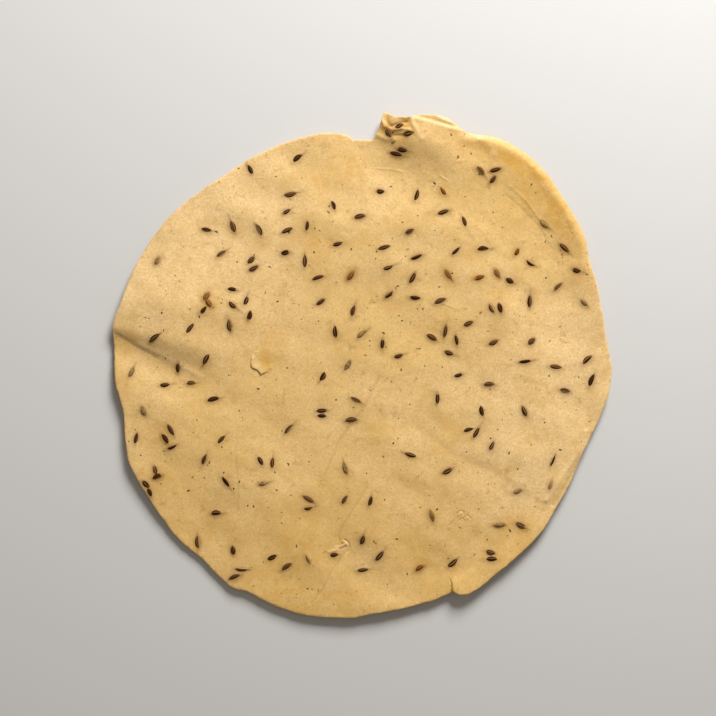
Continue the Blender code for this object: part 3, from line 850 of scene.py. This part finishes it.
def make_sheet(outline, seeds, centre, material):
    out = outward_of(outline)
    loops = [outline - inset * out for inset, _ in RIM_PROFILE]
    top_plan, top_faces = face_of_sheet(loops[0], plan_points(outline, seeds, TOP_STEP, True))
    under_plan, under_faces = face_of_sheet(loops[-1], plan_points(outline, seeds, UNDER_STEP, False))
    count = len(outline)

    x, y = top_plan.T
    relief = collars_at(x, y, seeds) + lines_at(x, y) + flake_at(x, y)
    top_z = sheet_heights(x, y)[1] + relief
    under_x, under_y = under_plan.T
    under_z = sheet_heights(under_x, under_y)[0]

    points = [np.column_stack((x, y, top_z))]
    rings = [list(range(count))]
    faces = [tuple(face) for face in top_faces]
    start = len(x)
    for loop, (_, share) in zip(loops[1:-1], RIM_PROFILE[1:-1]):
        z = (1 - share) * top_z[:count] + share * under_z[:count]
        points.append(np.column_stack((loop, z)))
        rings.append(list(range(start, start + count)))
        start += count
    points.append(np.column_stack((under_x, under_y, under_z)))
    rings.append(list(range(start, start + count)))
    faces += shifted(under_faces, start, flipped=True)
    for above, below in zip(rings, rings[1:]):
        for index in range(count):
            after = (index + 1) % count
            faces.append((above[index], below[index], below[after], above[after]))
    points = np.vstack(points)

    plan_x, plan_y = points[:, 0], points[:, 1]
    sheet = mesh_from("papadum_sheet", settled(points, centre), faces, material)

    on_top = np.arange(len(points)) < len(x)
    below = np.arange(len(points)) >= start
    # darker round the seeds: partly their tint, partly painted contact shadow
    add_attribute(sheet.data, "halo_and_contact_shade", halo_and_contact_shade_at(plan_x, plan_y, seeds) * np.where(below, 0.0, 1.0))
    add_attribute(sheet.data, "through", through_at(plan_x, plan_y, seeds) * below)
    # stains, and painted shade in the crease, inside the upper right lip and towards the bottom edge
    add_attribute(sheet.data, "stain_and_shade", stains_and_shade_at(plan_x, plan_y, seeds))
    # painted light: paler where light falls, and painted highlights on ridge crests
    add_attribute(sheet.data, "pale", painted_light_at(plan_x, plan_y))
    # painted shade in the fine grooves
    add_attribute(sheet.data, "groove_shade", groove_shade_at(plan_x, plan_y) * on_top)
    return sheet


# Seeds

def seed_places():
    """(x, y, turn) of every seed: the groups, then an even scatter clear of them and of CLEAR_SPOTS."""
    draw = random.Random(SEED_DRAW)
    places = [place for group in SEED_GROUPS for place in group]
    for gap in SEED_GAPS:
        for _ in range(SEED_TRIES):
            angle = draw.uniform(0, FULL_TURN)
            reach = SPREAD_RADIUS * math.sqrt(draw.random())
            turn = draw.gauss(*SEED_TURN)
            x, y = polar(angle, reach)
            inside = reach < float(closed_curve(RIM, angle)) - SEED_FROM_RIM
            clear = all(math.hypot(x - other[0], y - other[1]) > gap for other in places)
            clear = clear and all(math.hypot(x - spot[0], y - spot[1]) > spot[2] for spot in CLEAR_SPOTS)
            if inside and clear and len(places) < SEED_COUNT:
                places.append((x, y, turn))
    return places


def make_seed_list():
    """Every seed's place, turn and size as on the solid, and its own looks."""
    sizes = random.Random(SEED_DRAW + 1)
    looks = random.Random(LOOKS_DRAW)
    grouped_count = sum(len(group) for group in SEED_GROUPS)
    seeds = []
    for index, (x, y, turn) in enumerate(seed_places()):
        length, width = sizes.uniform(*SEED_LENGTH), sizes.uniform(*SEED_WIDTH)
        pick = looks.random()
        rusty = any(math.hypot(x - at[0], y - at[1]) < SAME_SEED for at in RUSTY_SEEDS)
        grouped = index < grouped_count
        if rusty or pick < RUSTY_SHARE and not grouped:
            kind = "rusty"
        elif pick > 1 - VEILED_SHARE and not grouped:
            kind = "veiled"
        else:
            kind = "dark"
        seeds.append(
            {
                "x": x, "y": y, "turn": turn, "length": length, "width": width, "kind": kind,
                "halo_and_contact_shade": looks.uniform(*HALO_AND_SHADE_STRENGTH), "bend": looks.uniform(*SEED_BEND),
                "roll": looks.uniform(*SEED_ROLL), "tail": looks.choice(SEED_TAILS),
                "pale": looks.uniform(*RIDGE_STRENGTH), "tone": looks.random(),
                "end": looks.choice(EITHER_WAY), "end_from": looks.uniform(*END_FILM_FROM),
                "side": looks.choice(EITHER_WAY), "side_from": looks.uniform(*SIDE_FILM_FROM),
            }
        )
    return seeds


def film_over(seed, share, turn, girth):
    """How thickly dough covers this place on the seed: at its foot, and from one end and one side."""
    across, up = math.cos(math.radians(turn)), math.sin(math.radians(turn))
    foot = 1 - smooth_step(0, FOOT_FILM, girth * up)
    end = smooth_step(seed["end_from"], seed["end_from"] + END_FILM, share * seed["end"])
    side = smooth_step(seed["side_from"], seed["side_from"] + SIDE_FILM, across * seed["side"])
    return max(foot, end, side, VEILED_FILM if seed["kind"] == "veiled" else 0)


def ridge_at(turn, ridges):
    """How near a place round the seed is to the nearest of these ridges: 1 on it."""
    return max(
        math.exp(-((((turn - at + HALF_TURN) % FULL_TURN - HALF_TURN) / RIDGE_HALF_WIDTH) ** 2))
        for at in ridges
    )


def seed_points(seed):
    """A ridged spindle along X, with its crown above and its keel below.

    Beside its points come how pale each one is, and how thickly dough covers it.
    """
    points, ridges, films = [], [], []
    half = seed["length"] / 2
    for ring in range(SEED_RINGS + 1):
        share = -math.cos(math.pi * ring / SEED_RINGS)
        girth = max(1 - abs(share) ** SEED_BLUNT, 0) ** SEED_FULL * (1 - SEED_TAPER * share)
        x = share * half
        if share > TAIL_START:
            x += seed["tail"] * (share - TAIL_START) / (1 - TAIL_START)
        bend = seed["bend"] * (1 - share * share) * seed["width"]
        for side in range(SEED_SIDES):
            turn = FULL_TURN * side / SEED_SIDES
            from_top = turn - QUARTER_TURN - seed["roll"]
            ridge = ridge_at(from_top, SEED_RIDGES[seed["side"]])
            out = girth * (1 + RIDGE_RISE * (ridge - RIDGE_LEVEL))
            height = SEED_RISE if turn < HALF_TURN else SEED_SINK
            across = out * math.cos(math.radians(turn)) * seed["width"] / 2
            up = out * math.sin(math.radians(turn)) * height
            points.append((x, across + bend, up))
            pale = ridge_at(from_top, PALE_RIDGES[seed["side"]])
            ridges.append(max(pale, SIDE_RIDGES_SHOWN * ridge))
            films.append(film_over(seed, share, turn, girth))
    return np.array(points), np.array(ridges), np.array(films)


def seed_faces():
    faces = []
    for ring in range(SEED_RINGS):
        for side in range(SEED_SIDES):
            after = (side + 1) % SEED_SIDES
            here, there = ring * SEED_SIDES, (ring + 1) * SEED_SIDES
            faces.append((here + side, here + after, there + after, there + side))
    return faces


def lay_on_sheet(points, x, y, turn):
    """Turns points about Z and lays them on the sheet's top at (x, y), along the slope there."""
    cosine, sine = math.cos(math.radians(turn)), math.sin(math.radians(turn))
    reach = 1.0
    around = np.array((x, x + reach, x - reach, x, x)), np.array((y, y, y, y + reach, y - reach))
    heights = sheet_heights(*around)[1]
    slope_x = (heights[1] - heights[2]) / (2 * reach)
    slope_y = (heights[3] - heights[4]) / (2 * reach)
    turned_x = points[:, 0] * cosine - points[:, 1] * sine
    turned_y = points[:, 0] * sine + points[:, 1] * cosine
    z = heights[0] + turned_x * slope_x + turned_y * slope_y + points[:, 2]
    return np.column_stack((x + turned_x, y + turned_y, z))


def make_seeds(seeds, centre, material):
    """All the seeds, as one mesh."""
    points, faces = [], []
    values = {"ridge": [], "film": [], "tone": [], "rust": [], "halo_and_contact_shade": [], "stain_and_shade": [], "pale": []}
    start = 0
    for seed in seeds:
        shape, ridges, films = seed_points(seed)
        laid = lay_on_sheet(shape, seed["x"], seed["y"], seed["turn"])
        same = np.ones(len(shape))
        values["ridge"].append(ridges * seed["pale"])
        values["film"].append(films)
        values["tone"].append(same * seed["tone"])
        values["rust"].append(same * (seed["kind"] == "rusty"))
        values["halo_and_contact_shade"].append(same * seed["halo_and_contact_shade"])
        values["stain_and_shade"].append(stains_and_shade_at(laid[:, 0], laid[:, 1], seeds))
        # the same painted light on the seeds, for the dough over them
        values["pale"].append(patches_at(PAINTED_LIGHT_PATCHES, laid[:, 0], laid[:, 1]))
        points.append(laid)
        faces += shifted(seed_faces(), start)
        start += len(shape)
    made = mesh_from("cumin_seeds", settled(np.vstack(points), centre), faces, material)
    for name, parts in values.items():
        add_attribute(made.data, name, np.concatenate(parts))
    return made


# Specks

def speck_points(draw, size):
    """A low, uneven dome."""
    stretch = draw.uniform(*SPECK_STRETCH)
    points = [(0, 0, SPECK_RISE)]
    for ring, height in SPECK_RINGS:
        for side in range(SPECK_SIDES):
            turn = 2 * math.pi * side / SPECK_SIDES
            out = ring * size * draw.uniform(*SPECK_UNEVEN)
            points.append((out * math.cos(turn) * stretch, out * math.sin(turn), height))
    return np.array(points)


def speck_faces():
    faces = []
    for side in range(SPECK_SIDES):
        after = (side + 1) % SPECK_SIDES
        inner, next_inner = 1 + side, 1 + after
        faces.append((0, inner, next_inner))
        faces.append((inner, inner + SPECK_SIDES, next_inner + SPECK_SIDES, next_inner))
    return faces


def make_specks(seeds, centre, material):
    """The specks in the sheet's top, then those in its underside, as one mesh."""
    draw = random.Random(SPECK_DRAW)
    smallest, largest = SPECK_SIZE
    points, faces, tones = [], [], []
    start = 0
    for index in range(SPECK_COUNT + UNDER_SPECK_COUNT):
        on_top = index < SPECK_COUNT
        size = smallest + (largest - smallest) * draw.random() ** SPECK_MOSTLY_SMALL
        shape = speck_points(draw, size)
        tone = draw.random()
        angle, reach = draw.uniform(0, FULL_TURN), SPREAD_RADIUS * math.sqrt(draw.random())
        turn = draw.uniform(0, FULL_TURN)
        if reach > float(closed_curve(RIM, angle)) - SPECK_FROM_RIM:
            continue
        x, y = polar(angle, reach)
        if not on_top:
            shape[:, 2] = -shape[:, 2] - THICKNESS
        laid = lay_on_sheet(shape, x, y, turn)
        if on_top:
            here = np.array((x,)), np.array((y,))
            laid[:, 2] += (collars_at(*here, seeds) + lines_at(*here) + flake_at(*here))[0]
        points.append(laid)
        faces += shifted(speck_faces(), start, flipped=not on_top)
        tones.append(np.full(len(shape), tone))
        start += len(shape)
    points = settled(np.vstack(points), centre)
    points[:, 2] = np.maximum(points[:, 2], 0)
    made = mesh_from("spice_specks", points, faces, material)
    add_attribute(made.data, "tone", np.concatenate(tones))
    return made


# Materials

def new_material(name):
    made = bpy.data.materials.new(name)
    made.use_nodes = True
    return made, made.node_tree, made.node_tree.nodes["Principled BSDF"]


def attribute(tree, name):
    node = tree.nodes.new("ShaderNodeAttribute")
    node.attribute_name = name
    return node.outputs["Fac"]


def noise(tree, size, detail=2.0, rough=0.5, distort=0.0, shift=0.0):
    """Noise whose features are about this many millimetres wide."""
    place = tree.nodes.new("ShaderNodeTexCoord")
    move = tree.nodes.new("ShaderNodeMapping")
    move.inputs["Location"].default_value = (shift, shift, shift)
    node = tree.nodes.new("ShaderNodeTexNoise")
    node.inputs["Scale"].default_value = 1 / (size * MM)
    node.inputs["Detail"].default_value = detail
    node.inputs["Roughness"].default_value = rough
    node.inputs["Distortion"].default_value = distort
    tree.links.new(place.outputs["Object"], move.inputs["Vector"])
    tree.links.new(move.outputs["Vector"], node.inputs["Vector"])
    return node.outputs["Fac"]


def spread(tree, value, low, high, to_low=0.0, to_high=1.0):
    """The value spread from low and high to these two, and held there."""
    node = tree.nodes.new("ShaderNodeMapRange")
    node.inputs["From Min"].default_value = low
    node.inputs["From Max"].default_value = high
    node.inputs["To Min"].default_value = to_low
    node.inputs["To Max"].default_value = to_high
    tree.links.new(value, node.inputs["Value"])
    return node.outputs["Result"]


def combine(tree, operation, first, second):
    node = tree.nodes.new("ShaderNodeMath")
    node.operation = operation
    for socket, value in zip(node.inputs, (first, second)):
        if isinstance(value, (int, float)):
            socket.default_value = value
        else:
            tree.links.new(value, socket)
    return node.outputs["Value"]


def blend_colours(tree, share, first, second):
    node = tree.nodes.new("ShaderNodeMix")
    node.data_type = "RGBA"
    for name, value in (("Factor_Float", share), ("A_Color", first), ("B_Color", second)):
        socket = next(socket for socket in node.inputs if socket.identifier == name)
        if isinstance(value, (int, float, tuple)):
            socket.default_value = value
        else:
            tree.links.new(value, socket)
    return next(socket for socket in node.outputs if socket.identifier == "Result_Color")


def bump(tree, height, strength, distance):
    node = tree.nodes.new("ShaderNodeBump")
    node.inputs["Strength"].default_value = strength
    node.inputs["Distance"].default_value = distance * MM
    tree.links.new(height, node.inputs["Height"])
    return node.outputs["Normal"]


def in_patches(tree, colour, tint, texture, low, high, strength):
    """Lays a tint over the colour where this noise goes from low to high, this strongly."""
    share = spread(tree, noise(tree, *texture), low, high, 0, strength)
    return blend_colours(tree, share, colour, tint)


def where_marked(tree, colour, tint, name, strength):
    """Lays a tint over the colour where the mesh's attribute of this name says, this strongly."""
    share = combine(tree, "MULTIPLY", attribute(tree, name), strength)
    return blend_colours(tree, share, colour, tint)


def uneven_roughness(tree, shader, texture, smoothest, roughest):
    rough = spread(tree, noise(tree, *texture), *NOISE_RANGE, smoothest, roughest)
    tree.links.new(rough, shader.inputs["Roughness"])


NOISE_RANGE = (0.3, 0.7)  # where nearly all of a noise's values lie
PALE_DOUGH = (0.90, 0.64, 0.325, 1)
DOUGH = (0.79, 0.52, 0.195, 1)
TAN_DOUGH = (0.60, 0.365, 0.105, 1)
# the tint of the stains and of the painted shade
STAIN_AND_SHADE_COLOUR = (0.64, 0.345, 0.05, 1)
SMUDGE = (0.44, 0.255, 0.075, 1)
RUSTY_SPOT = (0.38, 0.165, 0.022, 1)
# partly the seeds' tint in the dough, partly painted contact shadow
HALO_AND_CONTACT_SHADE = (0.24, 0.108, 0.028, 1)
THROUGH_SEED = (0.28, 0.155, 0.06, 1)
# painted shade in the grooves
GROOVE_SHADE = (0.45, 0.26, 0.08, 1)
FLECK = (0.34, 0.18, 0.05, 1)

# The dough's mottling, in the order it is laid on, as (tint, noise, low, high, strength), where noise
# is its features' size, detail, roughness, distortion and shift
MOTTLING = (
    (TAN_DOUGH, (13, 3, 0.55, 0.6, 0.31), 0.52, 0.74, 0.65),  # blotches
    (TAN_DOUGH, (3.6, 3, 0.6, 0.3, 0.17), 0.42, 0.68, 0.28),  # clouds
    (TAN_DOUGH, (0.75, 3, 0.75, 0, 0.53), 0.38, 0.62, 0.54),  # grain
    (PALE_DOUGH, (1.1, 2, 0.6, 0, 0.11), 0.6, 0.74, 0.3),  # dust of flour
    (SMUDGE, (2.8, 2, 0.5, 0.4, 0.83), 0.62, 0.76, 0.5),
    (RUSTY_SPOT, (1.7, 2, 0.5, 0.5, 0.47), 0.7, 0.78, 0.75),
)

# What the mesh's attributes mark, as (tint, attribute, strength): painted shade in the grooves, a halo
# that is partly the seeds' tint and partly painted contact shadow, and seeds showing through
MARKS = ((GROOVE_SHADE, "groove_shade", 0.28), (HALO_AND_CONTACT_SHADE, "halo_and_contact_shade", 0.7), (THROUGH_SEED, "through", 0.6))


def dough_colour(tree):
    colour = in_patches(tree, DOUGH, PALE_DOUGH, (42, 2, 0.5), 0.36, 0.64, 0.55)
    # painted light: paler where light falls, and painted highlights on ridge crests
    colour = where_marked(tree, colour, PALE_DOUGH, "pale", 1)
    for layer in MOTTLING:
        colour = in_patches(tree, colour, *layer)
    # stains, with painted shade in the crease, inside the upper right lip and towards the bottom edge
    patchy = spread(tree, noise(tree, 4.2, 4, 0.65, 1.0, 0.7), 0.36, 0.62, 0.102, 0.85)
    stain_and_shade = combine(tree, "MULTIPLY", attribute(tree, "stain_and_shade"), patchy)
    colour = blend_colours(tree, stain_and_shade, colour, STAIN_AND_SHADE_COLOUR)
    colour = in_patches(tree, colour, FLECK, (0.65, 1, 0.5, 0, 0.9), 0.715, 0.76, 0.6)
    for mark in MARKS:
        colour = where_marked(tree, colour, *mark)
    return colour


def dough_material():
    material, tree, shader = new_material("dough")
    tree.links.new(dough_colour(tree), shader.inputs["Base Color"])
    uneven_roughness(tree, shader, (2.2, 3, 0.6), 0.5, 0.68)
    coarse = combine(tree, "MULTIPLY", noise(tree, 2.6, 3, 0.55), 1.6)
    texture = combine(tree, "ADD", noise(tree, 0.8, 3, 0.6), coarse)
    tree.links.new(bump(tree, texture, 0.9, 0.06), shader.inputs["Normal"])
    shader.inputs["Specular IOR Level"].default_value = 0.3
    shader.inputs["Subsurface Weight"].default_value = 0.22
    shader.inputs["Subsurface Radius"].default_value = (1.0, 0.5, 0.18)
    shader.inputs["Subsurface Scale"].default_value = 0.9 * MM
    return material


SEED_DARK = (0.011, 0.0025, 0.0005, 1)
SEED_BROWN = (0.043, 0.009, 0.0005, 1)
SEED_RIDGE = (0.50, 0.25, 0.085, 1)
SEED_RUST = (0.20, 0.058, 0.008, 1)


def seed_material():
    material, tree, shader = new_material("cumin")
    uneven = spread(tree, noise(tree, 0.7, 2, 0.6), 0.35, 0.7, 0, 0.55)
    tone = combine(tree, "MULTIPLY", attribute(tree, "tone"), 0.5)
    share = combine(tree, "ADD", uneven, tone)
    colour = blend_colours(tree, share, SEED_DARK, SEED_BROWN)
    colour = where_marked(tree, colour, SEED_RUST, "rust", 0.75)
    colour = where_marked(tree, colour, SEED_RIDGE, "ridge", 0.7)
    patchy = spread(tree, noise(tree, 1.1, 2, 0.6, 0, 0.4), 0.3, 0.7, -0.2, 0.2)
    film = spread(tree, combine(tree, "ADD", attribute(tree, "film"), patchy), 0.25, 0.95, 0, 0.86)
    colour = blend_colours(tree, film, colour, dough_colour(tree))
    tree.links.new(colour, shader.inputs["Base Color"])
    uneven_roughness(tree, shader, (0.5, 2), 0.5, 0.75)
    tree.links.new(bump(tree, noise(tree, 0.22, 2, 0.6), 0.5, 0.03), shader.inputs["Normal"])
    shader.inputs["Specular IOR Level"].default_value = 0.05
    return material


SPECK_DARK = (0.03, 0.010, 0.003, 1)
SPECK_OCHRE = (0.36, 0.17, 0.035, 1)


def speck_material():
    material, tree, shader = new_material("spice")
    share = spread(tree, attribute(tree, "tone"), 0.45, 0.95)
    colour = blend_colours(tree, share, SPECK_DARK, SPECK_OCHRE)
    colour = in_patches(tree, colour, TAN_DOUGH, (0.3, 1), 0.35, 0.7, 0.25)
    tree.links.new(colour, shader.inputs["Base Color"])
    uneven_roughness(tree, shader, (0.4, 1), 0.55, 0.8)
    shader.inputs["Specular IOR Level"].default_value = 0.05
    return material


# Floor, lights and camera

def make_floor():
    material, tree, shader = new_material("floor")
    shader.inputs["Base Color"].default_value = FLOOR_COLOUR
    shader.inputs["Roughness"].default_value = 1.0
    shader.inputs["Specular IOR Level"].default_value = 0.0
    half = FLOOR_SIZE / 2 / MM
    corners = [(-half, -half), (half, -half), (half, half), (-half, half)]
    floor = mesh_from("floor", [(x, y, -FLOOR_DROP) for x, y in corners], [(0, 1, 2, 3)], material)


def make_key_light():
    data = bpy.data.lights.new("key", "AREA")
    data.shape = "SQUARE"
    data.size = KEY_SIZE
    data.energy = KEY_POWER
    light = bpy.data.objects.new("key", data)
    azimuth, elevation = math.radians(KEY_AZIMUTH), math.radians(KEY_ELEVATION)
    level = KEY_DISTANCE * math.cos(elevation)
    light.location = (
        level * math.sin(azimuth),
        level * math.cos(azimuth),
        KEY_DISTANCE * math.sin(elevation),
    )
    light.rotation_euler = (-light.location).to_track_quat("-Z", "Y").to_euler()
    bpy.context.scene.collection.objects.link(light)


def make_world():
    world = bpy.data.worlds.new("studio")
    world.use_nodes = True
    background = world.node_tree.nodes["Background"]
    background.inputs["Color"].default_value = WORLD_COLOUR
    background.inputs["Strength"].default_value = WORLD_STRENGTH
    bpy.context.scene.world = world


def make_camera(centre):
    """Straight above, with the round where the photograph has it."""
    data = bpy.data.cameras.new("camera")
    data.lens = CAMERA_LENS
    data.sensor_width = CAMERA_SENSOR
    camera = bpy.data.objects.new("camera", data)
    x, y = (VIEW_CENTRE[0] - centre[0]) * MM, (VIEW_CENTRE[1] - centre[1]) * MM
    camera.location = (x, y, VIEW_WIDTH * MM * CAMERA_LENS / CAMERA_SENSOR)
    bpy.context.scene.collection.objects.link(camera)
    bpy.context.scene.camera = camera


def main():
    outline = rim_outline()
    centre = (outline.min(axis=0) + outline.max(axis=0)) / 2
    seeds = make_seed_list()
    sheet = make_sheet(outline, seeds, centre, dough_material())
    cumin = make_seeds(seeds, centre, seed_material())
    specks = make_specks(seeds, centre, speck_material())
    for piece in (sheet, cumin, specks):
        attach(piece, "root")
        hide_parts("papadum")
    make_floor()
    make_world()
    make_key_light()
    make_camera(centre)
    bpy.context.scene.view_settings.view_transform = "Standard"


main()
